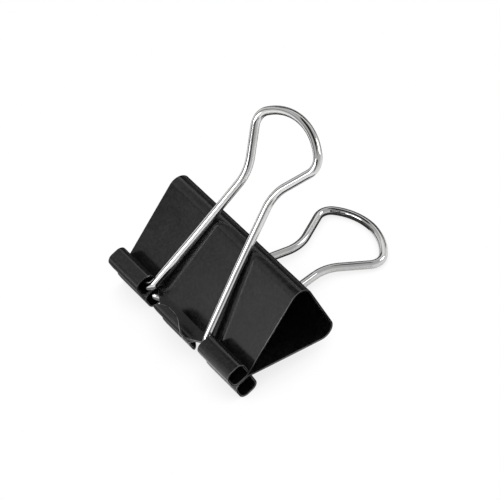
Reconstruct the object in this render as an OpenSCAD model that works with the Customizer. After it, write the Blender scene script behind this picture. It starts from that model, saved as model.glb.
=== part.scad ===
// Foldback paper clip: a folded spring-steel sheet with rolled jaw edges, and two wire
// handles that hinge in the rolls. The clip lies on its rear handle and rear rolls, as it
// does when it is put down. Millimetres, +Z up, origin at the middle of the box it stands in.
//
// Each shape is first drawn upright: x along the jaws, y from the front jaw (negative) to the
// rear jaw (positive), z from the mouth up to the spine. Profiles use (out, up): "out" runs
// from the middle plane to either side. The rear half is the front half turned about z, and
// modules for both take a side, -1 for the front and 1 for the rear.

/* [Sheet body] */
// Width of the clip along its jaws
clip_w = 51; // [44:0.5:64]
// Height from the mouth, where the jaws meet, to the outside of the spine
body_h = 24.7; // [19:0.1:30]
// Depth of the spine between its two outer corners, before they are rounded
spine_d = 25.8; // [18:0.1:32]
// Thickness of the steel sheet
sheet_t = 0.45; // [0.3:0.05:0.6]
// Outer radius of the bends between spine and jaws
spine_bend_r = 3.3; // [2:0.1:4.5]
// Gap between the closed jaws
jaw_gap = 0.1; // [0.05:0.01:0.3]
// Cut between the spine and each jaw, at the start of the bend
flex_gap = 0.02; // [0.01:0.01:0.05]

/* [Rolled edges] */
// Depth of a roll, from its mouth side to its outer side
roll_w = 5.8; // [5:0.1:6.4]
// Height of a roll
roll_h = 5.5; // [5.2:0.1:6.4]
// Outer radius of a roll's corners
roll_corner_r = 2; // [1.2:0.1:2.5]
// How far a roll rises above the mouth
roll_rise = 1.2; // [0.9:0.1:1.8]
// Outer radius of the bend from the jaw's face into its roll
mouth_bend_r = 1.2; // [0.8:0.1:1.6]
// Gap between a roll's free edge and the face it curls back to
free_edge_gap = 0.2; // [0.1:0.05:0.5]
// Length of each end roll, from the clip's side to its notch
roll_len = 12.5; // [9:0.1:15]

/* [Middle tongue] */
// Half width of the tongue at its root, level with the mouth
tongue_root = 11.8; // [8:0.1:12.2]
// Half width of the tongue on the underside of the roll
tongue_under = 5.7; // [4:0.1:7]
// Height that the tongue's rounded tip reaches above the underside of the roll
tongue_tip = 2.7; // [1.5:0.1:3.5]

/* [Wire handles] */
// Wire diameter
wire_d = 2.2; // [1.6:0.05:2.4]
// Gap between a handle's feet and the mouth side of the roll
foot_gap = 0.55; // [0.4:0.05:0.7]
// Straight length of each foot inside its roll
foot_len = 5; // [3:0.1:7]
// Radius of the bend from foot to leg, at the wire's middle
foot_bend_r = 2.6; // [2.2:0.1:3]
// Gap between a leg and the end of its roll
leg_gap = 0.7; // [0.3:0.05:1]
// Sideways shift of the front handle within its play in the rolls
front_shift = -0.5; // [-0.6:0.1:0.6]
// Gap between the folded handle and the spine bend that it rests on
rest_gap = 0.08; // [0.04:0.01:0.2]
// Inward slope of the legs at the feet, in degrees
lower_angle = 10.5; // [9.5:0.5:13]
// Inward slope of the legs at the neck, in degrees
upper_angle = 8.5; // [6:0.5:9]
// Radius of the legs' slight bow
leg_bow_r = 975; // [800:5:1100]
// Radius of the neck bend
neck_r = 10.5; // [7:0.5:13]
// Outward slope of the loop's flanks, in degrees
flank_slope = 31; // [25:0.5:35]
// Straight length of the loop's flanks
flank_len = 7.7; // [6:0.1:11]
// Radius of the loop's two corners
loop_corner_r = 3.7; // [2.8:0.1:5]
// Outward-facing angle at which the corners run into the loop's crown, in degrees
crown_angle = 47.5; // [43:0.5:60]

/* [Hidden] */
$fn = 64;
half_t = sheet_t / 2;
// most degrees of turn between two places along a bend, and sides round the wire
stop_angle = 7;
ring_sides = 20;
wire_r = wire_d / 2;
jaw_in = jaw_gap / 2;
notch_x = clip_w / 2 - roll_len;

// Face of the jaw: it leaves the mouth bend as a tangent and ends in the spine bend
mouth_c = [jaw_in + mouth_bend_r, 0];
spine_corner = [spine_d / 2, body_h];
corner_v = spine_corner - mouth_c;
face_slope = atan2(corner_v.x, corner_v.y) + asin((mouth_bend_r - sheet_t) / norm(corner_v));
bend_c = [spine_corner.x - spine_bend_r / tan((90 - face_slope) / 2), body_h - spine_bend_r];
face_dir = [sin(face_slope), cos(face_slope)];
face_out = [cos(face_slope), -sin(face_slope)];
face_foot = mouth_c - mouth_bend_r * face_out;
face_len = (bend_c - mouth_c) * face_dir;

// Roll: a rounded square whose mouth-side upper corner is the mouth bend
roll_top = roll_rise;
roll_bottom = roll_top - roll_h;
roll_outer = jaw_in + roll_w;
roll_mid = [jaw_in + roll_w / 2, roll_top - roll_h / 2];
corner_out = roll_outer - roll_corner_r;
corner_in = jaw_in + roll_corner_r;
corner_low = roll_bottom + roll_corner_r;
corner_high = roll_top - roll_corner_r;
face_at_top = face_foot.x + sheet_t / cos(face_slope) + (roll_top - face_foot.y) * tan(face_slope);
free_edge = face_at_top + free_edge_gap;
flat_top = roll_bottom + sheet_t;
tip_rise = tongue_tip - sheet_t;
tongue_r = (tongue_under ^ 2 + tip_rise ^ 2) / (2 * tip_rise);

// The middle of the sheet's thickness as steps, each [radius or length, turn]; a turn of 0 is
// a straight run. It starts level at the top of the spine bend.
jaw_steps = [
    [spine_bend_r - half_t, -90 - face_slope],
    [face_len, 0],
    [mouth_bend_r - half_t, face_slope],
    [mouth_c.y - corner_low, 0],
    [roll_corner_r - half_t, 90],
    [corner_out - corner_in, 0],
    [roll_corner_r - half_t, 90],
    [corner_high - corner_low, 0],
    [roll_corner_r - half_t, 90],
    [corner_out - free_edge, 0],
];

// Handle: hinge axis in the roll, and the lean at which the wire rests on the spine bend
foot_axis = [jaw_in + sheet_t + foot_gap + wire_r, roll_mid.y];
rest_v = bend_c - foot_axis;
handle_lean = atan2(rest_v.x, rest_v.y) + asin((spine_bend_r + wire_r + rest_gap) / norm(rest_v));

// The middle of a handle's wire as steps of the same kind. It starts at a foot's end, at
// [x, distance from the hinge, heading], and its second half repeats the first in reverse.
foot_end = [notch_x + foot_bend_r - wire_r - leg_gap + foot_len, 0, 180];
half_steps = [
    [foot_len, 0],
    [foot_bend_r, lower_angle - 90],
    [leg_bow_r, upper_angle - lower_angle],
    [neck_r, -upper_angle - flank_slope],
    [flank_len, 0],
    [loop_corner_r, flank_slope + crown_angle],
];
crown_start = walk(foot_end, half_steps);
crown_r = crown_start.x / sin(crown_start.z);
handle_len = crown_start.y + crown_r * (1 + cos(crown_start.z));
handle_steps = concat(half_steps, [[crown_r, 180 - 2 * crown_angle]],
                      [for (i = [len(half_steps) - 1:-1:0]) half_steps[i]]);

// Lying pose: the table touches the rear roll's lower corner and the end of the rear loop
low_corner = [corner_out, corner_low];
loop_end = foot_axis + handle_len * [sin(handle_lean), cos(handle_lean)];
span = loop_end - low_corner;
lie_angle = atan2(span.x, span.y) - asin((roll_corner_r - wire_r) / norm(span));
along = [sin(lie_angle), cos(lie_angle)];
down = [cos(lie_angle), -sin(lie_angle)];
table = low_corner * down + roll_corner_r;
far_end = loop_end * along + wire_r;
near_end = [-low_corner.x, low_corner.y] * along - roll_corner_r;

// Place and heading after one step, and after a whole list of steps
function step_end(p, s) =
    s[1] == 0
    ? [p.x + s[0] * cos(p.z), p.y + s[0] * sin(p.z), p.z]
    : let (way = sign(s[1]) * s[0], h = p.z + s[1])
      [p.x + way * (sin(h) - sin(p.z)), p.y - way * (cos(h) - cos(p.z)), h];
function walk(p, steps, i = 0) = i == len(steps) ? p : walk(step_end(p, steps[i]), steps, i + 1);

// Stops along one step and along a whole list of steps, and a point beside a stop
function step_stops(p, s) =
    let (n = max(1, ceil(abs(s[1]) / stop_angle)))
    [for (k = [1:n]) s[1] == 0 ? step_end(p, s) : step_end(p, [s[0], s[1] * k / n])];
function all_stops(p, steps) = concat(
    [p], [for (i = 0, q = p; i < len(steps); q = step_end(q, steps[i]), i = i + 1)
              each step_stops(q, steps[i])]);
function beside(p, gap) = [p.x - gap * sin(p.z), p.y + gap * cos(p.z)];

// Lays the upright clip down, with the origin under the middle of its box
module lay_down() {
    translate([0, -(far_end + near_end) / 2, table])
        rotate([lie_angle - 90, 0, 0])
            children();
}

// Turns a profile in (out, up) into a solid of the given width on one side of the clip
module across(width, side) {
    rotate([90, 0, side * 90])
        translate([0, 0, -width / 2])
            linear_extrude(width)
                children();
}

// Sheet profile of one jaw, from the spine bend down the face and round the roll
module jaw_profile() {
    stops = all_stops([bend_c.x, body_h - half_t, 0], jaw_steps);
    polygon(concat([for (p = stops) beside(p, half_t)],
                   [for (i = [len(stops) - 1:-1:0]) beside(stops[i], -half_t)]));
}

// Box centred on x, between two distances out from the middle plane on one side
module side_box(side, half_width, outs, ups) {
    translate([-half_width, side < 0 ? -outs[1] : outs[0], ups[0]])
        cube([2 * half_width, outs[1] - outs[0], ups[1] - ups[0]]);
}

// Notches for the legs: what is cut from the roll on both sides of the middle tongue
module notches(side) {
    low = roll_bottom - sheet_t;
    high = roll_top + free_edge_gap / 4;
    // straight taper down the mouth side of the roll
    for (end = [-1, 1])
        rotate([90, 0, side < 0 ? 0 : 180])
            linear_extrude(roll_mid.x)
                polygon([[end * notch_x, 0], [end * tongue_root, 0],
                         [end * tongue_under, flat_top],
                         [end * tongue_under, low], [end * notch_x, low]]);
    // rounded tip on the outer side of the roll
    difference() {
        side_box(side, notch_x, [roll_mid.x, roll_outer + sheet_t], [low, high]);
        translate([0, side * roll_mid.x, flat_top + tip_rise - tongue_r])
            rotate([side * -90, 0, 0])
                cylinder(h = roll_w, r = tongue_r);
        side_box(side, tongue_under, [0, 2 * roll_outer], [2 * low, flat_top]);
    }
    // top of the roll, which the tongue does not reach
    side_box(side, notch_x, [free_edge - free_edge_gap / 2, roll_mid.x + sheet_t],
             [roll_top - 2 * sheet_t, high]);
}

// One jaw: a bend of the spine, the flat face and the rolled edge, notched for the legs
module jaw(side) {
    difference() {
        across(clip_w, side)
            jaw_profile();
        notches(side);
    }
}

// Whole handle, flat in its own plane: feet outward along x, loop away along y
module flat_handle() {
    stops = all_stops(foot_end, handle_steps);
    last = len(stops) - 1;
    points = [for (p = stops, k = [0:ring_sides - 1])
                  let (a = 360 * k / ring_sides, q = beside(p, wire_r * cos(a)))
                  [q.x, q.y, wire_r * sin(a)]];
    tube = [for (i = [0:last - 1], k = [0:ring_sides - 1])
                let (next = (k + 1) % ring_sides, row = i * ring_sides)
                [row + k, row + next, row + ring_sides + next, row + ring_sides + k]];
    start_cap = [for (k = [ring_sides - 1:-1:0]) k];
    end_cap = [for (k = [0:ring_sides - 1]) last * ring_sides + k];
    polyhedron(points, concat([start_cap], tube, [end_cap]));
}

// Handle on one side, its feet in the rolls, folded back onto the spine bend
module handle(side) {
    translate([side < 0 ? front_shift : 0, side * foot_axis.x, foot_axis.y])
        rotate([90 - side * handle_lean, 0, 0])
            flat_handle();
}

module spine() {
    color("#1c1d20")
        lay_down()
            translate([-clip_w / 2, flex_gap - bend_c.x, body_h - sheet_t])
                cube([clip_w, 2 * (bend_c.x - flex_gap), sheet_t]);
}

module front_jaw() {
    color("#222327")
        lay_down()
            jaw(-1);
}

module rear_jaw() {
    color("#222327")
        lay_down()
            jaw(1);
}

module front_handle() {
    color("#d6d8dc")
        lay_down()
            handle(-1);
}

module rear_handle() {
    color("#d6d8dc")
        lay_down()
            handle(1);
}

spine();
front_jaw();
rear_jaw();
front_handle();
rear_handle();
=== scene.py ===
"""Foldback paper clip, dressed for a studio picture.

The clip is one folded spring-steel sheet, black enamelled, whose jaw edges are curled into
rolls, and two bright wire handles that turn in the rolls. It lies on its rear handle and its
rear rolls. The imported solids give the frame. Four finer pieces made here take their place: two
half sheets that meet along the middle of the spine, and two round wires.

Shapes are worked out upright: x along the jaws, "out" from the middle plane to either side and
"up" from the mouth to the spine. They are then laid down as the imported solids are. Sizes are
given in millimetres and turned into metres where a mesh is made.
"""

from __future__ import annotations

import logging
import math
from dataclasses import dataclass, field
from enum import Enum
from functools import cached_property

import bpy
import numpy as np
from mathutils import Matrix, Vector

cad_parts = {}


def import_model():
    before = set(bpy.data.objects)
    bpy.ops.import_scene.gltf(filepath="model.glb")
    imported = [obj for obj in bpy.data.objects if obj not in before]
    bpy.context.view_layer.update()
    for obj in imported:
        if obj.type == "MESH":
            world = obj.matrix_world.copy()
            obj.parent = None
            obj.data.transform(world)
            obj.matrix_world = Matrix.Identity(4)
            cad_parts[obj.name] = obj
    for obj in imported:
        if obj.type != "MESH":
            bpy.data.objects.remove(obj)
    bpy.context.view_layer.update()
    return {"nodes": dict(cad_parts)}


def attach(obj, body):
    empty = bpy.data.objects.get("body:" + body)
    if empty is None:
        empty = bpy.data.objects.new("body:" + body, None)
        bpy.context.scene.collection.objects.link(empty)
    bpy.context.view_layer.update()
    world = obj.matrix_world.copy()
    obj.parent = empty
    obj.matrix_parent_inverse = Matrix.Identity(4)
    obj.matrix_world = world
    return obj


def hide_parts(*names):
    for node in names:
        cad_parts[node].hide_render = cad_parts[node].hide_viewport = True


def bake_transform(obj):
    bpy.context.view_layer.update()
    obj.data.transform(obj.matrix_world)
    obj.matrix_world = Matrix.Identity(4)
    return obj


LOG = logging.getLogger("foldback_clip")
MM = 0.001
# Place in metres that the lamps and most cards face.
CLIP_MIDDLE = (0.0, 0.0, 0.02)

# One step of a path: a straight length and 0, or a bend's radius and its turn in degrees.
Step = tuple[float, float]


class Side(Enum):
    """The two halves of the clip, with the sign of "out" along the upright y axis."""

    FRONT = -1
    REAR = 1

    @property
    def label(self) -> str:
        """The side's name as it stands in node, body and piece names."""
        return self.name.lower()


class Slot(Enum):
    """The record's material slots."""

    SHEET = "black_sheet"
    WIRE = "bright_wire"


# ---- Paths ----


@dataclass(frozen=True)
class Spacing:
    """How finely a path is cut into rows.

    The values are the most degrees between two rows of a bend, the most length between two
    rows of a straight run, and the distance of one more row from each end of such a run, which
    keeps the bend's shading out of the flat.
    """

    turn: float
    run: float
    margin: float


def step_length(step: Step) -> float:
    """Length along a step: its own if straight, else the radius times the turn."""
    size, turn = step
    return size * abs(math.radians(turn)) if turn else size


def arc_step(place: np.ndarray, step: Step, shares: np.ndarray) -> np.ndarray:
    """Places along one step of a path, at the given shares of it.

    A turn of 0 is a straight run: the place moves by the length along its heading. Otherwise
    the place circles a centre one radius to the side, so that x moves by the radius times the
    change of the heading's sine, and y by the radius times the change of its cosine.

    Args:
        place: x, y and heading in radians at the start.
        step: Length or radius, and turn in degrees.
        shares: Shares of the step, from 0 to 1.

    Returns:
        One row of x, y and heading for each share.
    """
    x, y, heading = place
    size, turn = step
    if turn == 0:
        return np.column_stack([x + size * shares * math.cos(heading),
                                y + size * shares * math.sin(heading),
                                np.full(len(shares), heading)])
    way = math.copysign(size, turn)
    ahead = heading + math.radians(turn) * shares
    return np.column_stack([x + way * (np.sin(ahead) - math.sin(heading)),
                            y - way * (np.cos(ahead) - math.cos(heading)), ahead])


def step_shares(step: Step, spacing: Spacing) -> np.ndarray:
    """Shares at which a step is cut into rows, evenly by turn or by length.

    Args:
        step: Length or radius, and turn in degrees.
        spacing: How finely the path is cut.

    Returns:
        Rising shares, without the first 0 and with the last 1.
    """
    size, turn = step
    if turn:
        return np.linspace(0, 1, max(2, math.ceil(abs(turn) / spacing.turn)) + 1)[1:]
    if size < 3 * spacing.margin:
        return np.array([1.0])
    near = spacing.margin / size
    inner = np.linspace(near, 1 - near, max(2, math.ceil(size / spacing.run) + 1))
    return np.append(inner, 1.0)


def path_rows(start: np.ndarray, steps: list[Step], spacing: Spacing) -> np.ndarray:
    """Rows of x, y, heading and distance along a whole path.

    Args:
        start: x, y and heading in radians at the start.
        steps: The path's steps in order.
        spacing: How finely the path is cut.

    Returns:
        One row for each cut of the path, the start included.
    """
    rows = [np.append(start, 0.0)[None, :]]
    for step in steps:
        shares = step_shares(step, spacing)
        places = arc_step(rows[-1][-1, :3], step, shares)
        rows.append(np.column_stack([places, rows[-1][-1, 3] + step_length(step) * shares]))
    return np.vstack(rows)


# ---- Sizes ----


@dataclass(frozen=True)
class ClipSizes:
    """The clip's own sizes in millimetres and degrees, as in the part's source."""

    clip_w: float = 51.0
    body_h: float = 24.7
    spine_d: float = 25.8
    sheet_t: float = 0.45
    spine_bend_r: float = 3.3
    jaw_gap: float = 0.1
    roll_w: float = 5.8
    roll_h: float = 5.5
    roll_corner_r: float = 2.0
    roll_rise: float = 1.2
    mouth_bend_r: float = 1.2
    free_edge_gap: float = 0.2
    roll_len: float = 12.5
    tongue_root: float = 11.8
    tongue_under: float = 5.7
    tongue_tip: float = 2.7
    wire_d: float = 2.2
    foot_gap: float = 0.55
    foot_len: float = 5.0
    foot_bend_r: float = 2.6
    leg_gap: float = 0.7
    rest_gap: float = 0.08
    lower_angle: float = 10.5
    upper_angle: float = 8.5
    leg_bow_r: float = 975.0
    neck_r: float = 10.5
    flank_slope: float = 31.0
    flank_len: float = 7.7
    loop_corner_r: float = 3.7
    crown_angle: float = 47.5
    front_shift: float = -0.5

    @cached_property
    def wire_r(self) -> float:
        """Radius of the wire."""
        return self.wire_d / 2

    @cached_property
    def half_t(self) -> float:
        """Half the thickness of the sheet."""
        return self.sheet_t / 2

    @cached_property
    def jaw_in(self) -> float:
        """Distance from the middle plane to the mouth side of a jaw."""
        return self.jaw_gap / 2

    @cached_property
    def notch_x(self) -> float:
        """Distance of a notch's outer edge from the clip's middle."""
        return self.clip_w / 2 - self.roll_len

    @cached_property
    def mouth_c(self) -> np.ndarray:
        """Centre of the bend at the mouth, as (out, up)."""
        return np.array([self.jaw_in + self.mouth_bend_r, 0.0])

    @cached_property
    def face_slope(self) -> float:
        """Outward slope of the face in radians: a tangent from the spine's corner."""
        to_corner = np.array([self.spine_d / 2, self.body_h]) - self.mouth_c
        return (math.atan2(to_corner[0], to_corner[1])
                + math.asin((self.mouth_bend_r - self.sheet_t) / np.hypot(*to_corner)))

    @cached_property
    def bend_c(self) -> np.ndarray:
        """Centre of the spine bend, as (out, up)."""
        reach = self.spine_bend_r / math.tan((math.pi / 2 - self.face_slope) / 2)
        return np.array([self.spine_d / 2 - reach, self.body_h - self.spine_bend_r])

    @cached_property
    def face_len(self) -> float:
        """Length of the flat face between its two bends."""
        along = np.array([math.sin(self.face_slope), math.cos(self.face_slope)])
        return float((self.bend_c - self.mouth_c) @ along)

    @cached_property
    def roll_bottom(self) -> float:
        """Height of a roll's underside."""
        return self.roll_rise - self.roll_h

    @cached_property
    def corner_in(self) -> float:
        """Distance out of the roll's mouth-side corner centre."""
        return self.jaw_in + self.roll_corner_r

    @cached_property
    def corner_out(self) -> float:
        """Distance out of the roll's outer corner centres."""
        return self.jaw_in + self.roll_w - self.roll_corner_r

    @cached_property
    def corner_low(self) -> float:
        """Height of the roll's lower corner centres."""
        return self.roll_bottom + self.roll_corner_r

    @cached_property
    def free_edge(self) -> float:
        """Distance out of the roll's free edge, just short of the face."""
        foot = self.mouth_c - self.mouth_bend_r * np.array(
            [math.cos(self.face_slope), -math.sin(self.face_slope)])
        face = (foot[0] + self.sheet_t / math.cos(self.face_slope)
                + (self.roll_rise - foot[1]) * math.tan(self.face_slope))
        return float(face + self.free_edge_gap)

    @cached_property
    def sheet_steps(self) -> list[Step]:
        """The sheet's middle line, from the middle plane over the spine to its free edge."""
        corner = self.roll_corner_r - self.half_t
        return [
            (float(self.bend_c[0]), 0),
            (self.spine_bend_r - self.half_t, -90 - math.degrees(self.face_slope)),
            (self.face_len, 0),
            (self.mouth_bend_r - self.half_t, math.degrees(self.face_slope)),
            (-self.corner_low, 0),
            (corner, 90),
            (self.corner_out - self.corner_in, 0),
            (corner, 90),
            (self.roll_h - 2 * self.roll_corner_r, 0),
            (corner, 90),
            (self.corner_out - self.free_edge, 0),
        ]

    @cached_property
    def mouth_distance(self) -> float:
        """Length of the sheet's middle line to the mouth, where its fourth step ends."""
        return sum(step_length(step) for step in self.sheet_steps[:4])

    @cached_property
    def foot_axis(self) -> np.ndarray:
        """Hinge of a handle inside its roll, as (out, up)."""
        return np.array([self.jaw_in + self.sheet_t + self.foot_gap + self.wire_r,
                         self.roll_rise - self.roll_h / 2])

    @cached_property
    def handle_lean(self) -> float:
        """Lean of a folded handle in radians: a tangent that clears the spine bend."""
        rest = self.bend_c - self.foot_axis
        gap = self.spine_bend_r + self.wire_r + self.rest_gap
        return math.atan2(rest[0], rest[1]) + math.asin(gap / np.hypot(*rest))

    @cached_property
    def foot_end(self) -> np.ndarray:
        """Start of the wire's middle line at a foot's end: x, distance from hinge, heading."""
        inner = self.notch_x - self.wire_r - self.leg_gap + self.foot_bend_r
        return np.array([inner + self.foot_len, 0.0, math.pi])

    @cached_property
    def half_steps(self) -> list[Step]:
        """The wire's middle line from a foot's end to the start of the crown."""
        return [
            (self.foot_len, 0),
            (self.foot_bend_r, self.lower_angle - 90),
            (self.leg_bow_r, self.upper_angle - self.lower_angle),
            (self.neck_r, -self.upper_angle - self.flank_slope),
            (self.flank_len, 0),
            (self.loop_corner_r, self.flank_slope + self.crown_angle),
        ]

    @cached_property
    def crown_start(self) -> np.ndarray:
        """Place and heading where the loop's corner runs into its crown."""
        place = self.foot_end
        for step in self.half_steps:
            place = arc_step(place, step, np.array([1.0]))[0]
        return place

    @cached_property
    def crown_r(self) -> float:
        """Radius of the crown, which has its centre on the handle's middle."""
        return float(self.crown_start[0] / math.sin(self.crown_start[2]))

    @cached_property
    def handle_len(self) -> float:
        """Distance from the hinge to the middle of the wire at the crown."""
        return float(self.crown_start[1] + self.crown_r * (1 + math.cos(self.crown_start[2])))

    @cached_property
    def wire_steps(self) -> list[Step]:
        """The whole wire's middle line, from one foot's end to the other."""
        return (self.half_steps + [(self.crown_r, 180 - 2 * self.crown_angle)]
                + self.half_steps[::-1])

    @cached_property
    def loop_end(self) -> np.ndarray:
        """Middle of the wire at the crown of a folded handle, as (out, up)."""
        way = np.array([math.sin(self.handle_lean), math.cos(self.handle_lean)])
        return self.foot_axis + self.handle_len * way

    @cached_property
    def lie_angle(self) -> float:
        """Turn in radians that brings the rear roll's corner and the rear loop to the table."""
        span = self.loop_end - np.array([self.corner_out, self.corner_low])
        return (math.atan2(span[0], span[1])
                - math.asin((self.roll_corner_r - self.wire_r) / np.hypot(*span)))

    def lay_down(self, upright: np.ndarray) -> np.ndarray:
        """Turns upright places into places of the lying clip.

        The turn is about the x axis by the lying angle less a right angle. The lift puts the
        rear roll's lower corner on the table, and the shift centres the clip's depth.

        Args:
            upright: Places as rows of x, y, z in millimetres.

        Returns:
            The same places in the shared frame, in metres.
        """
        sine, cosine = math.sin(self.lie_angle), math.cos(self.lie_angle)
        low = np.array([self.corner_out, self.corner_low])
        table = low @ np.array([cosine, -sine]) + self.roll_corner_r
        far_end = self.loop_end @ np.array([sine, cosine]) + self.wire_r
        near_end = -low[0] * sine + low[1] * cosine - self.roll_corner_r
        return MM * np.column_stack([
            upright[:, 0],
            upright[:, 1] * sine + upright[:, 2] * cosine - (far_end + near_end) / 2,
            -upright[:, 1] * cosine + upright[:, 2] * sine + table,
        ])


# ---- Meshes ----


def grid_faces(rows: np.ndarray) -> np.ndarray:
    """Four-sided faces between neighbouring entries of a table of vertex numbers.

    Args:
        rows: Vertex numbers, one row of the table for each row of the surface.

    Returns:
        Faces as rows of four vertex numbers.
    """
    return np.column_stack([rows[:-1, :-1].ravel(), rows[:-1, 1:].ravel(),
                            rows[1:, 1:].ravel(), rows[1:, :-1].ravel()])


def rim_edges(faces: np.ndarray) -> np.ndarray:
    """Directed edges that belong to one face only, in the order of that face.

    Args:
        faces: Faces as rows of four vertex numbers.

    Returns:
        Edges as rows of two vertex numbers.
    """
    edges = np.vstack([faces[:, [k, (k + 1) % 4]] for k in range(4)])
    keys = np.sort(edges, axis=1)
    _, first, count = np.unique(keys, axis=0, return_index=True, return_counts=True)
    return edges[first[count == 1]]


def link_object(name: str, data: bpy.types.ID) -> bpy.types.Object:
    """Makes an object of the given data and links it to the scene."""
    thing = bpy.data.objects.new(name, data)
    bpy.context.scene.collection.objects.link(thing)
    return thing


def flat_mesh(name: str, across: float, high: float) -> bpy.types.Mesh:
    """Makes a rectangle's mesh about the origin, of the given half width and half height."""
    mesh = bpy.data.meshes.new(name)
    corners = [(-across, -high, 0), (across, -high, 0), (across, high, 0), (-across, high, 0)]
    mesh.from_pydata(corners, [], [(0, 1, 2, 3)])
    return mesh


def new_piece(name: str, points: np.ndarray, faces: np.ndarray,
              sharp: float) -> bpy.types.Object:
    """Makes a mesh object at the origin, shaded smooth up to an angle.

    Args:
        name: The piece's name.
        points: Vertices in metres.
        faces: Faces as rows of vertex numbers.
        sharp: Angle between faces, in degrees, above which an edge stays sharp.

    Returns:
        The new object, linked to the scene.
    """
    mesh = bpy.data.meshes.new(name)
    mesh.from_pydata(points.tolist(), [], faces.tolist())
    mesh.validate()
    mesh.polygons.foreach_set("use_smooth", np.ones(len(mesh.polygons), dtype=bool))
    mesh.set_sharp_from_angle(angle=math.radians(sharp))
    mesh.update()
    return link_object(name, mesh)


def settle_modifiers(piece: bpy.types.Object) -> None:
    """Puts the result of a piece's modifiers into its mesh and drops them.

    Args:
        piece: The piece, at the origin.
    """
    graph = bpy.context.evaluated_depsgraph_get()
    settled = bpy.data.meshes.new_from_object(piece.evaluated_get(graph))
    settled.name = piece.name
    piece.modifiers.clear()
    old, piece.data = piece.data, settled
    bpy.data.meshes.remove(old)


# ---- Finishes ----


class MixKind(Enum):
    """Kinds of Mix node: data type, and the numbers of its two inputs and of its output."""

    NUMBERS = ("FLOAT", 2, 3, 0)
    COLOURS = ("RGBA", 6, 7, 2)


class NodeBench:
    """Adds nodes to one node tree and joins them."""

    def __init__(self, tree: bpy.types.NodeTree) -> None:
        """Takes the tree and empties it."""
        self.tree = tree
        tree.nodes.clear()

    def add(self, kind: str, values: dict[str | int, object] | None = None,
            **settings: object) -> bpy.types.Node:
        """Adds a node.

        Args:
            kind: The node's type name.
            values: Values of its input sockets, by name or number.
            settings: Properties of the node itself.

        Returns:
            The new node.
        """
        node = self.tree.nodes.new(kind)
        for key, value in settings.items():
            setattr(node, key, value)
        for key, value in (values or {}).items():
            node.inputs[key].default_value = value
        return node

    def join(self, source: bpy.types.NodeSocket, target: bpy.types.NodeSocket) -> None:
        """Joins an output to an input."""
        self.tree.links.new(source, target)

    def ramp(self, source: bpy.types.NodeSocket, low: float, high: float, to_low: float = 0.0,
             to_high: float = 1.0) -> bpy.types.NodeSocket:
        """Maps a value from one range to another, held at its ends.

        Args:
            source: The value.
            low: Value that becomes to_low.
            high: Value that becomes to_high.
            to_low: Result at the low end.
            to_high: Result at the high end.

        Returns:
            The mapped value.
        """
        node = self.add("ShaderNodeMapRange", {"From Min": low, "From Max": high,
                                               "To Min": to_low, "To Max": to_high})
        self.join(source, node.inputs["Value"])
        return node.outputs[0]

    def calc(self, operation: str, first: bpy.types.NodeSocket, second: bpy.types.NodeSocket,
             clamp: bool = False) -> bpy.types.NodeSocket:
        """Works out one value from two.

        Args:
            operation: The Math node's operation.
            first: First value.
            second: Second value.
            clamp: Whether the result is held between 0 and 1.

        Returns:
            The result.
        """
        node = self.add("ShaderNodeMath", operation=operation, use_clamp=clamp)
        self.join(first, node.inputs[0])
        self.join(second, node.inputs[1])
        return node.outputs[0]

    def mix(self, kind: MixKind, share: bpy.types.NodeSocket, low: object,
            high: object) -> bpy.types.NodeSocket:
        """Mixes two numbers or two colours.

        Args:
            kind: Numbers or colours.
            share: Share of the second.
            low: The first, or a socket that gives it.
            high: The second, or a socket that gives it.

        Returns:
            The mixture.
        """
        data_type, first, second, result = kind.value
        node = self.add("ShaderNodeMix", data_type=data_type)
        self.join(share, node.inputs[0])
        for number, value in ((first, low), (second, high)):
            if isinstance(value, bpy.types.NodeSocket):
                self.join(value, node.inputs[number])
            else:
                node.inputs[number].default_value = value
        return node.outputs[result]


def new_material(name: str) -> tuple[bpy.types.Material, NodeBench]:
    """Makes a material with an empty node tree, and the bench to fill it."""
    material = bpy.data.materials.new(name)
    material.use_nodes = True
    return material, NodeBench(material.node_tree)


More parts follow.
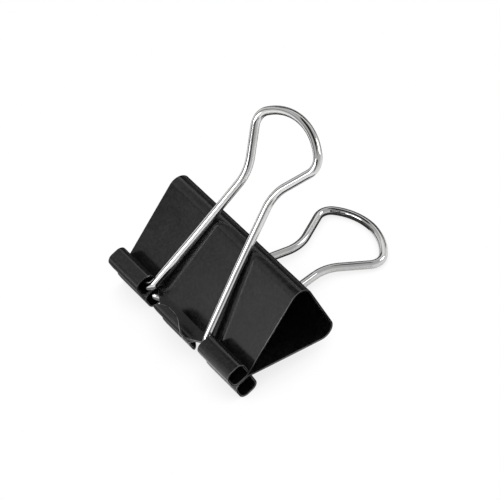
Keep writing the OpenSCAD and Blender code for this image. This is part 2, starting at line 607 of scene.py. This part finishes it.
class HandlingMarks:
    """Shared node group: fine mottling, smudges and short scuffs of a handled surface."""

    NAME = "handling_marks"
    # Noise values between which a scuff, or the patch that keeps scuffs, rises from 0 to 1.
    SCUFF_RANGE = (0.66, 0.74)
    PATCH_RANGE = (0.5, 0.62)
    # Turn in radians and scale of the noise that is drawn out into scuffs.
    SCUFF_TURN = (0.3, 0.2, 0.7)
    SCUFF_STRETCH = (1.0, 0.12, 1.0)

    @classmethod
    def get(cls) -> bpy.types.NodeTree:
        """The group, built at its first use."""
        return bpy.data.node_groups.get(cls.NAME) or cls.build()

    @classmethod
    def build(cls) -> bpy.types.NodeTree:
        """Builds the group.

        Grain is fine noise, smudge is broad noise, and scuff is the thin part of noise that is
        drawn out along one direction, kept only where broad noise is high.

        Returns:
            The finished group.
        """
        tree = bpy.data.node_groups.new(cls.NAME, "ShaderNodeTree")
        socket = tree.interface.new_socket
        socket("Vector", in_out="INPUT", socket_type="NodeSocketVector")
        for name, value in (("Grain Scale", 4000.0), ("Smudge Scale", 90.0),
                            ("Scuff Scale", 300.0)):
            socket(name, in_out="INPUT", socket_type="NodeSocketFloat").default_value = value
        for name in ("Grain", "Smudge", "Scuff"):
            socket(name, in_out="OUTPUT", socket_type="NodeSocketFloat")
        bench = NodeBench(tree)
        source = bench.add("NodeGroupInput")
        result = bench.add("NodeGroupOutput")
        grain = bench.add("ShaderNodeTexNoise", {"Detail": 3.0, "Roughness": 0.6})
        smudge = bench.add("ShaderNodeTexNoise", {"Detail": 4.0, "Roughness": 0.55,
                                                  "Distortion": 0.4})
        drawn = bench.add("ShaderNodeMapping", {"Rotation": cls.SCUFF_TURN,
                                                "Scale": cls.SCUFF_STRETCH})
        scratch = bench.add("ShaderNodeTexNoise", {"Detail": 2.0, "Roughness": 0.5})
        for node, scale in ((grain, "Grain Scale"), (smudge, "Smudge Scale"),
                            (scratch, "Scuff Scale")):
            bench.join(source.outputs[scale], node.inputs["Scale"])
        for node in (grain, smudge, drawn):
            bench.join(source.outputs["Vector"], node.inputs["Vector"])
        bench.join(drawn.outputs["Vector"], scratch.inputs["Vector"])
        thin = bench.ramp(scratch.outputs["Fac"], *cls.SCUFF_RANGE)
        where = bench.ramp(smudge.outputs["Fac"], *cls.PATCH_RANGE)
        bench.join(grain.outputs["Fac"], result.inputs["Grain"])
        bench.join(smudge.outputs["Fac"], result.inputs["Smudge"])
        bench.join(bench.calc("MULTIPLY", thin, where), result.inputs["Scuff"])
        return tree

    @classmethod
    def place(cls, bench: NodeBench, vector: bpy.types.NodeSocket,
              scales: tuple[float, float, float]) -> bpy.types.Node:
        """Places the group in a finish.

        Args:
            bench: The finish's bench.
            vector: Coordinates that the marks follow.
            scales: Scales of grain, smudge and scuff.

        Returns:
            The group's node.
        """
        names = ("Grain Scale", "Smudge Scale", "Scuff Scale")
        node = bench.add("ShaderNodeGroup", node_tree=cls.get())
        for name, scale in zip(names, scales):
            node.inputs[name].default_value = scale
        bench.join(vector, node.inputs["Vector"])
        return node


@dataclass(frozen=True)
class Enamel:
    """Black stoved enamel on spring steel, thin at the cut edges, where its lighter grey is part
    worn paint and part painted highlight.
    """

    name: str = "black_enamel"
    colour: tuple[float, float, float] = (0.0015, 0.0015, 0.0015)
    light_colour: tuple[float, float, float] = (0.011, 0.011, 0.0112)
    # Colour of scuffs, and on the rims also the painted highlight of the cut edges.
    edge_colour: tuple[float, float, float] = (0.06, 0.06, 0.06)
    # Share of the broad lighter patches: wear, and on the rims also painted highlight.
    wear_and_highlight_range: tuple[float, float] = (0.0, 0.0)
    roughness: tuple[float, float] = (0.11, 0.24)
    ior: float = 1.55
    marks_scales: tuple[float, float, float] = (1300.0, 110.0, 420.0)
    scuff_share: float = 0.1
    wear_range: tuple[float, float] = (0.35, 0.6)
    mottle_range: tuple[float, float] = (0.35, 0.65)
    gloss_range: tuple[float, float] = (0.3, 0.7)
    grain_height: float = 0.0000025

    def build(self) -> bpy.types.Material:
        """Makes the material.

        Returns:
            The material, its wear, and on the rims its painted highlight, laid over the whole
            surface by the given share.
        """
        material, bench = new_material(self.name)
        result = bench.add("ShaderNodeOutputMaterial")
        skin = bench.add("ShaderNodeBsdfPrincipled", {"Metallic": 0.0, "IOR": self.ior})
        bench.join(skin.outputs[0], result.inputs[0])
        place = bench.add("ShaderNodeTexCoord")
        marks = HandlingMarks.place(bench, place.outputs["Object"], self.marks_scales)
        # Broad patches of the lighter colour: on the rims worn paint and painted highlight.
        broad_wear_and_highlight = bench.ramp(marks.outputs["Smudge"], *self.wear_range, *self.wear_and_highlight_range)
        scuffed = bench.ramp(marks.outputs["Scuff"], 0.0, 1.0, 0.0, self.scuff_share)
        wear_and_highlight_mask = bench.calc("MAXIMUM", broad_wear_and_highlight, scuffed, clamp=True)
        speckle = bench.ramp(marks.outputs["Grain"], *self.mottle_range)
        mottle = bench.mix(MixKind.COLOURS, speckle, (*self.colour, 1.0),
                           (*self.light_colour, 1.0))
        tint = bench.mix(MixKind.COLOURS, wear_and_highlight_mask, mottle, (*self.edge_colour, 1.0))
        bench.join(tint, skin.inputs["Base Color"])
        bench.join(bench.ramp(marks.outputs["Smudge"], *self.gloss_range, *self.roughness),
                   skin.inputs["Roughness"])
        relief = bench.add("ShaderNodeBump", {"Strength": 1.0, "Distance": self.grain_height})
        bench.join(marks.outputs["Grain"], relief.inputs["Height"])
        bench.join(relief.outputs["Normal"], skin.inputs["Normal"])
        return material


@dataclass(frozen=True)
class Nickel:
    """Bright nickel plate on drawn wire, with faint lines along the wire."""

    name: str = "bright_nickel"
    colour: tuple[float, float, float] = (0.7, 0.7, 0.695)
    stain: tuple[float, float, float] = (0.5, 0.5, 0.49)
    roughness: tuple[float, float] = (0.03, 0.1)
    marks_scales: tuple[float, float, float] = (3500.0, 160.0, 900.0)
    stain_range: tuple[float, float] = (0.5, 0.75)
    stain_share: float = 0.6
    line_stretch: tuple[float, float, float] = (60.0, 0.5, 1.0)
    line_range: tuple[float, float] = (0.35, 0.7)
    line_strength: float = 0.6
    line_height: float = 0.000002

    def build(self) -> bpy.types.Material:
        """Makes the material.

        Returns:
            The material. Its drawing lines follow the wire through the piece's UV map, whose
            first value runs round the wire and whose second runs along it.
        """
        material, bench = new_material(self.name)
        result = bench.add("ShaderNodeOutputMaterial")
        skin = bench.add("ShaderNodeBsdfPrincipled", {"Metallic": 1.0})
        bench.join(skin.outputs[0], result.inputs[0])
        place = bench.add("ShaderNodeTexCoord")
        marks = HandlingMarks.place(bench, place.outputs["Object"], self.marks_scales)
        along = bench.add("ShaderNodeMapping", {"Scale": self.line_stretch})
        bench.join(place.outputs["UV"], along.inputs["Vector"])
        lines = bench.add("ShaderNodeTexNoise", {"Scale": 1.0, "Detail": 3.0})
        bench.join(along.outputs["Vector"], lines.inputs["Vector"])
        stained = bench.ramp(marks.outputs["Smudge"], *self.stain_range, 0.0, self.stain_share)
        tint = bench.mix(MixKind.COLOURS, stained, (*self.colour, 1.0), (*self.stain, 1.0))
        bench.join(tint, skin.inputs["Base Color"])
        bench.join(bench.ramp(lines.outputs["Fac"], *self.line_range, *self.roughness),
                   skin.inputs["Roughness"])
        relief = bench.add("ShaderNodeBump", {"Strength": self.line_strength,
                                              "Distance": self.line_height})
        bench.join(lines.outputs["Fac"], relief.inputs["Height"])
        bench.join(relief.outputs["Normal"], skin.inputs["Normal"])
        return material


# ---- The folded sheet ----


@dataclass
class FoldedSheet:
    """One half of the folded sheet, from the clip's middle plane to the roll's free edge."""

    sizes: ClipSizes
    side: Side
    skin: bpy.types.Material
    # The rims' material: a lighter grey of worn paint and painted highlight.
    cut: bpy.types.Material
    spacing: Spacing = Spacing(turn=4.0, run=1.5, margin=0.2)
    column_width: float = 1.2
    tip_half_width: float = 1.2
    tip_margin: float = 0.15
    tip_rows: int = 2
    smooth_up_to: float = 50.0
    rim_round: float = 0.08
    rim_segments: int = 3
    touch_gap: float = 0.004
    close_over: float = 12.0
    rows: np.ndarray = field(init=False)

    def __post_init__(self) -> None:
        """Works out the rows of the sheet's middle line as out, up, heading, distance."""
        size = self.sizes
        start = np.array([0.0, size.body_h - size.half_t, 0.0])
        self.rows = path_rows(start, size.sheet_steps, self.spacing)

    @property
    def notch_row(self) -> int:
        """Number of the row at which the notches start, level with the mouth."""
        return int(np.argmin(abs(self.rows[:, 3] - self.sizes.mouth_distance)))

    def tongue_rows(self) -> tuple[np.ndarray, np.ndarray]:
        """Rows and half widths of the middle tongue, below its root.

        On the roll's mouth side the half width falls evenly with height, from the root to the
        underside. It is even along the underside. On the outer side it is a circle's chord,
        whose circle meets the underside's width and closes at the tip's height.

        Returns:
            The tongue's rows of out, up, heading and distance, and a half width for each.
        """
        size = self.sizes
        flat_top = size.roll_bottom + size.sheet_t
        rise = size.tongue_tip - size.sheet_t
        radius = (size.tongue_under ** 2 + rise ** 2) / (2 * rise)
        rows = self.rows[self.notch_row:]
        tip_up = flat_top + rise - radius + math.sqrt(radius ** 2 - self.tip_half_width ** 2)
        outer = rows[:, 0] > size.jaw_in + size.roll_w / 2
        kept = rows[~outer | (rows[:, 1] < tip_up - self.tip_margin)]
        kept = kept[kept[:, 3] < rows[rows[:, 1].argmin(), 3] + size.roll_w]
        fine_up = np.linspace(kept[-1, 1], tip_up, self.tip_rows + 1)[1:]
        tip = np.column_stack([np.interp(fine_up, rows[outer, 1], values)
                               for values in rows[outer].T])
        rows = np.vstack([kept, tip])
        on_root = rows[:, 0] <= size.jaw_in + size.roll_w / 2
        share = np.clip(rows[:, 1] / flat_top, 0, 1)
        root_w = size.tongue_root + (size.tongue_under - size.tongue_root) * share
        above = np.clip(rows[:, 1] - (flat_top + rise - radius), 0, radius)
        chord = np.sqrt(np.maximum(radius ** 2 - above ** 2, self.tip_half_width ** 2))
        tip_w = np.minimum(chord, size.tongue_under)
        return rows, np.where(on_root, root_w, tip_w)

    def columns(self, low: float, high: float) -> np.ndarray:
        """Even column places from low to high, no wider apart than the column width."""
        return np.linspace(low, high, max(2, math.ceil((high - low) / self.column_width) + 1))

    def middle_surface(self) -> tuple[np.ndarray, np.ndarray]:
        """The sheet's middle surface as four joined grids.

        The first grid is the full width from the middle plane to the mouth. From its last row
        hang the two end rolls and the tongue. A vertex is (x, out, up, heading).

        Returns:
            The vertices and the faces.
        """
        size = self.sizes
        end_cols = self.columns(size.notch_x, size.clip_w / 2)
        mid_cols = self.columns(-size.tongue_root, size.tongue_root)
        width = np.concatenate([-end_cols[::-1], mid_cols, end_cols])
        left, right = len(end_cols), len(end_cols) + len(mid_cols)
        top_rows = self.rows[:self.notch_row + 1]
        roll_rows = self.rows[self.notch_row + 1:]
        tongue_rows, half_widths = self.tongue_rows()
        blocks, faces, count = [], [], 0

        def place(xs: np.ndarray, rows: np.ndarray) -> np.ndarray:
            """Adds a grid of vertices and returns its table of numbers."""
            nonlocal count
            xs = np.broadcast_to(xs, (len(rows), xs.shape[-1]))
            lines = np.repeat(rows[:, None, :3], xs.shape[1], axis=1)
            blocks.append(np.concatenate([xs[:, :, None], lines], axis=2).reshape(-1, 4))
            table = count + np.arange(xs.size).reshape(xs.shape)
            count += xs.size
            return table

        top = place(width, top_rows)
        faces.append(grid_faces(top))
        for first, last, xs, rows in (
                (0, left, width[:left], roll_rows),
                (right, len(width), width[right:], roll_rows),
                (left, right, half_widths[1:, None] * mid_cols[None, :] / size.tongue_root,
                 tongue_rows[1:])):
            table = place(xs, rows)
            faces.append(grid_faces(np.vstack([top[-1:, first:last], table])))
        return np.vstack(blocks), np.vstack(faces)

    def build(self) -> bpy.types.Object:
        """Makes the half sheet with its thickness and rounded rims.

        Each side of the sheet is the middle surface moved by half the thickness along the
        normal of its heading, and a wall closes every rim. The solids leave a gap between the
        jaws' mouths. Here each roll moves in by half of it, less a hair, and the move falls
        evenly to nothing with height up the face.

        Returns:
            The finished piece, in place of the solids it hides.
        """
        size = self.sizes
        middle, faces = self.middle_surface()
        shells = []
        for gap in (size.half_t, -size.half_t):
            out = middle[:, 1] - gap * np.sin(middle[:, 3])
            up = middle[:, 2] + gap * np.cos(middle[:, 3])
            share = np.clip(1 - up / self.close_over, 0, 1)
            out = out - share * (size.jaw_in - self.touch_gap)
            shells.append(np.column_stack([middle[:, 0], self.side.value * out, up]))
        count = len(middle)
        rim = rim_edges(faces)
        wall = np.column_stack([rim[:, 1], rim[:, 0], rim[:, 0] + count, rim[:, 1] + count])
        shell = np.vstack([faces, faces[:, ::-1] + count, wall])
        if self.side is Side.FRONT:
            shell = shell[:, ::-1]
        piece = new_piece(f"sheet_{self.side.label}", size.lay_down(np.vstack(shells)),
                          shell, self.smooth_up_to)
        piece.data.materials.append(self.skin)
        piece.data.materials.append(self.cut)
        self.mark_rims(piece, rim[middle[rim, 1].any(axis=1)], count)
        self.round_rims(piece)
        jaw = f"{self.side.label}_jaw"
        bend_in, bend_out = size.bend_c[0], size.spine_d / 2
        ends = size.lay_down(np.array([
            [0, self.side.value * bend_in, size.body_h],
            [0, self.side.value * bend_out, size.body_h - size.spine_bend_r]]))
        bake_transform(piece)
        nodes = [jaw, "spine"] if self.side is Side.FRONT else [jaw]
        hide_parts(*nodes)
        return piece

    def mark_rims(self, piece: bpy.types.Object, rim: np.ndarray, count: int) -> None:
        """Marks both edges of each cut rim for the bevel.

        Args:
            piece: The half sheet.
            rim: Vertex pairs of the rims on the first shell.
            count: The number of vertices of one shell.
        """
        mesh = piece.data
        pairs = np.empty(len(mesh.edges) * 2, dtype=np.int64)
        mesh.edges.foreach_get("vertices", pairs)
        cut = np.sort(np.vstack([rim, rim + count]), axis=1) @ (2 * count, 1)
        marked = np.isin(np.sort(pairs.reshape(-1, 2), axis=1) @ (2 * count, 1), cut)
        weight = mesh.attributes.new("bevel_weight_edge", "FLOAT", "EDGE")
        weight.data.foreach_set("value", marked.astype(np.float32))

    def round_rims(self, piece: bpy.types.Object) -> None:
        """Rounds the marked rims by a fine bevel with the cut edges' finish, a lighter grey of
        worn paint and painted highlight.
        """
        bevel = piece.modifiers.new("rims", "BEVEL")
        bevel.limit_method = "WEIGHT"
        bevel.width = self.rim_round * MM
        bevel.segments = self.rim_segments
        bevel.use_clamp_overlap = False
        bevel.harden_normals = True
        bevel.material = 1
        settle_modifiers(piece)


# ---- The wire handles ----


@dataclass
class WireHandle:
    """One handle: a single bent wire with its two feet in the rolls."""

    sizes: ClipSizes
    side: Side
    material: bpy.types.Material
    spacing: Spacing = Spacing(turn=2.5, run=0.8, margin=0.1)
    ring_sides: int = 48
    end_round: float = 0.3
    end_rings: int = 4

    def middle_line(self) -> np.ndarray:
        """Rows of the flat wire's middle line: x, distance from hinge, heading, distance."""
        return path_rows(self.sizes.foot_end, self.sizes.wire_steps, self.spacing)

    def rings(self) -> tuple[np.ndarray, np.ndarray]:
        """Ring middles with headings and radii, with both cut ends rounded over.

        An end is a quarter circle of the rounding's radius: rings are set back from the end
        by the radius less its sine share and drawn in by the radius less its cosine share.
        The path's own first two and last two rows are left out, as the ends cover them.

        Returns:
            Rows of x, y, heading and distance, and one radius for each.
        """
        rows = self.middle_line()
        angles = np.linspace(0, math.pi / 2, self.end_rings)
        back = self.end_round * (1 - np.sin(angles))
        radii = self.sizes.wire_r - self.end_round * (1 - np.cos(angles))
        start = np.repeat(rows[:1], self.end_rings, axis=0)
        start[:, 0] -= back
        start[:, 3] += back
        end = np.repeat(rows[-1:], self.end_rings, axis=0)
        end[:, 0] += back
        end[:, 3] -= back
        body = rows[2:-2]
        rings = np.vstack([start[::-1], body, end])
        radius = np.concatenate([radii[::-1], np.full(len(body), self.sizes.wire_r), radii])
        return rings, radius

    def build(self) -> bpy.types.Object:
        """Makes the wire as a tube round its middle line, closed at both cut ends.

        A point of a ring is the middle moved by the radius times the cosine of the ring angle
        across the heading, and by the radius times its sine out of the handle's plane.

        Returns:
            The finished piece, riding on its handle's body.
        """
        size = self.sizes
        rings, radius = self.rings()
        angles = np.linspace(0, 2 * math.pi, self.ring_sides, endpoint=False)
        across = radius[:, None] * np.cos(angles)[None, :]
        aside = radius[:, None] * np.sin(angles)[None, :]
        x = rings[:, 0:1] - across * np.sin(rings[:, 2:3])
        y = rings[:, 1:2] + across * np.cos(rings[:, 2:3])
        lean = size.handle_lean
        out = size.foot_axis[0] + y * math.sin(lean) + aside * math.cos(lean)
        up = size.foot_axis[1] + y * math.cos(lean) - aside * math.sin(lean)
        shift = size.front_shift if self.side is Side.FRONT else 0.0
        points = np.column_stack([x.ravel() + shift, self.side.value * out.ravel(), up.ravel()])
        table = np.arange(x.size).reshape(x.shape)
        table = np.column_stack([table, table[:, 0]])
        faces = grid_faces(table)
        ends = [points[:self.ring_sides].mean(axis=0), points[-self.ring_sides:].mean(axis=0)]
        points = np.vstack([points, *ends])
        first, last = table[0], table[-1]
        caps = [np.column_stack([first[1:], first[:-1], np.full(self.ring_sides, x.size)]),
                np.column_stack([last[:-1], last[1:], np.full(self.ring_sides, x.size + 1)])]
        mesh_faces = faces.tolist() + np.vstack(caps).tolist()
        if self.side is Side.FRONT:
            mesh_faces = [face[::-1] for face in mesh_faces]
        piece = self.make_mesh(size.lay_down(points), mesh_faces, rings)
        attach(piece, f"{self.side.label}_handle")
        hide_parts(f"{self.side.label}_handle")
        return piece

    def make_mesh(self, points: np.ndarray, faces: list[list[int]],
                  rings: np.ndarray) -> bpy.types.Object:
        """Makes the wire's mesh with a UV map that runs round and along it.

        Args:
            points: Vertices in metres, the rings' first and the two end points last.
            faces: The tube's faces and the end caps.
            rings: Rows whose fourth value is the distance along the wire.

        Returns:
            The new object.
        """
        name = f"wire_{self.side.label}"
        mesh = bpy.data.meshes.new(name)
        mesh.from_pydata(points.tolist(), [], faces)
        mesh.polygons.foreach_set("use_smooth", np.ones(len(mesh.polygons), dtype=bool))
        mesh.update()
        loops = np.empty(len(mesh.loops), dtype=np.int64)
        mesh.loops.foreach_get("vertex_index", loops)
        ring = np.minimum(loops // self.ring_sides, len(rings) - 1)
        turn = 2 * math.pi * (loops % self.ring_sides) / self.ring_sides
        uv = np.column_stack([0.5 + 0.5 * np.cos(turn), rings[ring, 3]])
        layer = mesh.uv_layers.new(name="along_wire")
        layer.data.foreach_set("uv", uv.ravel().astype(np.float32))
        mesh.materials.append(self.material)
        return link_object(name, mesh)


# ---- The studio ----


@dataclass(frozen=True)
class SoftLamp:
    """A large square lamp that shines at the clip."""

    name: str
    place: tuple[float, float, float]
    width: float
    power: float

    def build(self) -> bpy.types.Object:
        """Makes the lamp, facing the clip's middle.

        Returns:
            The lamp's object.
        """
        light = bpy.data.lights.new(self.name, "AREA")
        light.shape = "SQUARE"
        light.size = self.width
        light.energy = self.power
        lamp = link_object(self.name, light)
        lamp.location = self.place
        to_clip = Vector(CLIP_MIDDLE) - lamp.location
        lamp.rotation_euler = to_clip.to_track_quat("-Z", "Y").to_euler()
        return lamp


@dataclass(frozen=True)
class MirrorCard:
    """A flat card that only mirrored rays see, for the dark and light streaks on the clip.

    The levels are the brightness at the low and the high end of the card's own x axis, and the
    blend is how far to each side of its middle the one runs into the other, in metres.
    """

    name: str
    place: tuple[float, float, float]
    size: tuple[float, float]
    levels: tuple[float, float]
    blend: float = 0.05
    faces: tuple[float, float, float] = CLIP_MIDDLE

    def build(self) -> bpy.types.Object:
        """Makes the card, with its front towards the place it faces.

        Returns:
            The card's object.
        """
        mesh = flat_mesh(self.name, self.size[0] / 2, self.size[1] / 2)
        card = link_object(self.name, mesh)
        card.location = self.place
        away = Vector(self.place) - Vector(self.faces)
        card.rotation_euler = away.to_track_quat("Z", "Y").to_euler()
        for hidden in ("camera", "diffuse", "transmission", "volume_scatter", "shadow"):
            setattr(card, f"visible_{hidden}", False)
        mesh.materials.append(self.build_glow())
        return card

    def build_glow(self) -> bpy.types.Material:
        """Makes the card's light, which runs from its first level to its second.

        Returns:
            The material.
        """
        material, bench = new_material(self.name)
        result = bench.add("ShaderNodeOutputMaterial")
        glow = bench.add("ShaderNodeEmission")
        bench.join(glow.outputs[0], result.inputs[0])
        place = bench.add("ShaderNodeTexCoord")
        parts = bench.add("ShaderNodeSeparateXYZ")
        bench.join(place.outputs["Object"], parts.inputs[0])
        bench.join(bench.ramp(parts.outputs["X"], -self.blend, self.blend, *self.levels),
                   glow.inputs["Strength"])
        return material


@dataclass
class Studio:
    """White surroundings, a pale floor, soft lamps and the camera."""

    camera_place: tuple[float, float, float] = (0.402129, -0.26082, 0.502405)
    camera_right: tuple[float, float, float] = (0.587622, 0.806646, -0.063426)
    camera_down: tuple[float, float, float] = (0.552414, -0.457223, -0.696983)
    camera_lens: float = 199.408
    sensor_width: float = 36.0
    sight: tuple[float, float] = (0.01, 20.0)
    floor_half: float = 3.0
    floor_colour: tuple[float, float, float] = (0.9, 0.9, 0.9)
    floor_mirrored: float = 0.1
    shadow_reach: float = 0.02
    shadow_range: tuple[float, float] = (0.1, 0.75)
    shadow_level: float = 0.78
    shadow_samples: int = 16
    world_level: float = 0.72
    wall_heights: tuple[float, float] = (0.2, 0.75)
    wall_level: float = 0.8
    ceiling_level: float = 0.5
    lamps: tuple[SoftLamp, ...] = (
        SoftLamp("front_lamp", (-0.14, -0.9, 0.55), 0.5, 4.5),
        SoftLamp("back_lamp", (0.3, 1.0, 0.9), 0.5, 3.0),
    )
    cards: tuple[MirrorCard, ...] = (
        MirrorCard("viewer_flag", (0.64, -0.42, 0.34), (0.22, 0.75), (0.06, 0.06)),
        MirrorCard("camera_flag", (0.36, -0.42, 0.74), (0.5, 0.3), (0.03, 0.03)),
        MirrorCard("zenith_flag", (-0.25, -0.01, 0.92), (0.64, 0.68), (0.02, 0.02)),
        MirrorCard("back_flag", (-0.78, 0.5, 0.49), (1.05, 0.27), (0.02, 0.02)),
        MirrorCard("low_flag", (-0.74, 0.66, 0.12), (1.5, 0.46), (0.12, 0.12)),
        MirrorCard("back_strip", (-0.62, 0.6, 0.76), (1.2, 0.22), (0.95, 0.95)),
        MirrorCard("front_glow", (-0.29, -0.38, 0.145), (0.34, 0.28), (0.17, 0.85)),
        # Dark cards on the floor beside the clip, seen only in reflections: painted shade of the
        # clip on the floor.
        MirrorCard("front_painted_shade", (-0.05, -0.03, 0.0002), (0.1, 0.06), (0.22, 0.22),
                   faces=(-0.05, -0.03, 1.0)),
        MirrorCard("back_painted_shade", (-0.17, 0.16, 0.0002), (0.34, 0.32), (0.04, 0.04),
                   faces=(-0.17, 0.16, 1.0)),
        MirrorCard("right_painted_shade", (0.037, -0.01, 0.0002), (0.022, 0.055), (0.06, 0.06),
                   faces=(0.037, -0.01, 1.0)),
    )

    def build(self) -> None:
        """Makes everything of the studio."""
        bpy.context.scene.view_settings.view_transform = "Standard"
        self.build_world()
        self.build_floor()
        for part in (*self.lamps, *self.cards):
            part.build()
        self.build_camera()

    def build_world(self) -> None:
        """Plain light for surfaces, and for camera and reflections a room of white walls.

        The camera sees white. Mirrored rays see the walls' level low down, falling evenly to
        the ceiling's level overhead.
        """
        world = bpy.data.worlds.new("white_room")
        bpy.context.scene.world = world
        world.use_nodes = True
        bench = NodeBench(world.node_tree)
        result = bench.add("ShaderNodeOutputWorld")
        back = bench.add("ShaderNodeBackground", {"Color": (1.0, 1.0, 1.0, 1.0)})
        bench.join(back.outputs[0], result.inputs[0])
        way = bench.add("ShaderNodeTexCoord")
        parts = bench.add("ShaderNodeSeparateXYZ")
        bench.join(way.outputs["Generated"], parts.inputs[0])
        walls = bench.ramp(parts.outputs["Z"], *self.wall_heights, self.wall_level,
                           self.ceiling_level)
        ray = bench.add("ShaderNodeLightPath")
        mirrored = bench.mix(MixKind.NUMBERS, ray.outputs["Is Glossy Ray"], self.world_level,
                             walls)
        clear = bench.calc("ADD", ray.outputs["Is Camera Ray"],
                           ray.outputs["Is Transmission Ray"], clamp=True)
        bench.join(bench.mix(MixKind.NUMBERS, clear, mirrored, 1.0), back.inputs["Strength"])

    def build_floor(self) -> None:
        """A pale floor that the clip lies on.

        Surfaces and mirrored rays meet a matt white sheet. The camera meets only the soft
        shadow that close things throw on it, so the sheet hides nothing that swings below it.
        """
        mesh = flat_mesh("floor", self.floor_half, self.floor_half)
        floor = link_object("floor", mesh)
        material, bench = new_material("pale_floor")
        result = bench.add("ShaderNodeOutputMaterial")
        matt = bench.add("ShaderNodeBsdfDiffuse", {"Color": (*self.floor_colour, 1.0)})
        glow = bench.add("ShaderNodeEmission", {"Strength": self.floor_mirrored})
        sheet = bench.add("ShaderNodeAddShader")
        bench.join(matt.outputs[0], sheet.inputs[0])
        bench.join(glow.outputs[0], sheet.inputs[1])
        near = bench.add("ShaderNodeAmbientOcclusion", {"Distance": self.shadow_reach},
                         samples=self.shadow_samples)
        shadow = bench.add("ShaderNodeBsdfTransparent")
        bench.join(bench.ramp(near.outputs["AO"], *self.shadow_range, self.shadow_level, 1.0),
                   shadow.inputs["Color"])
        ray = bench.add("ShaderNodeLightPath")
        seen = bench.add("ShaderNodeMixShader")
        bench.join(ray.outputs["Is Camera Ray"], seen.inputs[0])
        bench.join(sheet.outputs[0], seen.inputs[1])
        bench.join(shadow.outputs[0], seen.inputs[2])
        bench.join(seen.outputs[0], result.inputs[0])
        mesh.materials.append(material)

    def build_camera(self) -> None:
        """The camera at the photograph's viewing place, from its own axes."""
        data = bpy.data.cameras.new("camera")
        data.sensor_width = self.sensor_width
        data.lens = self.camera_lens
        data.clip_start, data.clip_end = self.sight
        camera = link_object("camera", data)
        right, down = np.array(self.camera_right), np.array(self.camera_down)
        axes = np.column_stack([right, -down, -np.cross(right, down)])
        turn = Matrix(axes.tolist()).to_4x4()
        camera.matrix_world = Matrix.Translation(self.camera_place) @ turn
        bpy.context.scene.camera = camera


def main() -> None:
    """Builds the studio and the clip."""
    logging.basicConfig(level=logging.INFO, format="%(name)s: %(message)s")
    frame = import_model()
    LOG.info("frame has nodes %s", ", ".join(sorted(frame["nodes"])))
    Studio().build()
    sizes = ClipSizes()
    enamel, nickel = Enamel().build(), Nickel().build()
    # The rims' finish: its lighter grey is worn thin paint and a painted highlight along the cut
    # edges.
    rim_wear_and_highlight = Enamel(name="rim_wear_and_highlight", edge_colour=(0.24, 0.24, 0.24), wear_and_highlight_range=(0.1, 1.0),
                      roughness=(0.25, 0.4)).build()
    for node in frame["nodes"].values():
        node.data.materials.clear()
        node.data.materials.append(nickel if "handle" in node.name else enamel)
    for side in Side:
        for piece in (FoldedSheet(sizes, side, enamel, rim_wear_and_highlight).build(),
                      WireHandle(sizes, side, nickel).build()):
            LOG.info("%s: %d vertices, %d faces", piece.name, len(piece.data.vertices),
                     len(piece.data.polygons))


if __name__ == "__main__":
    main()
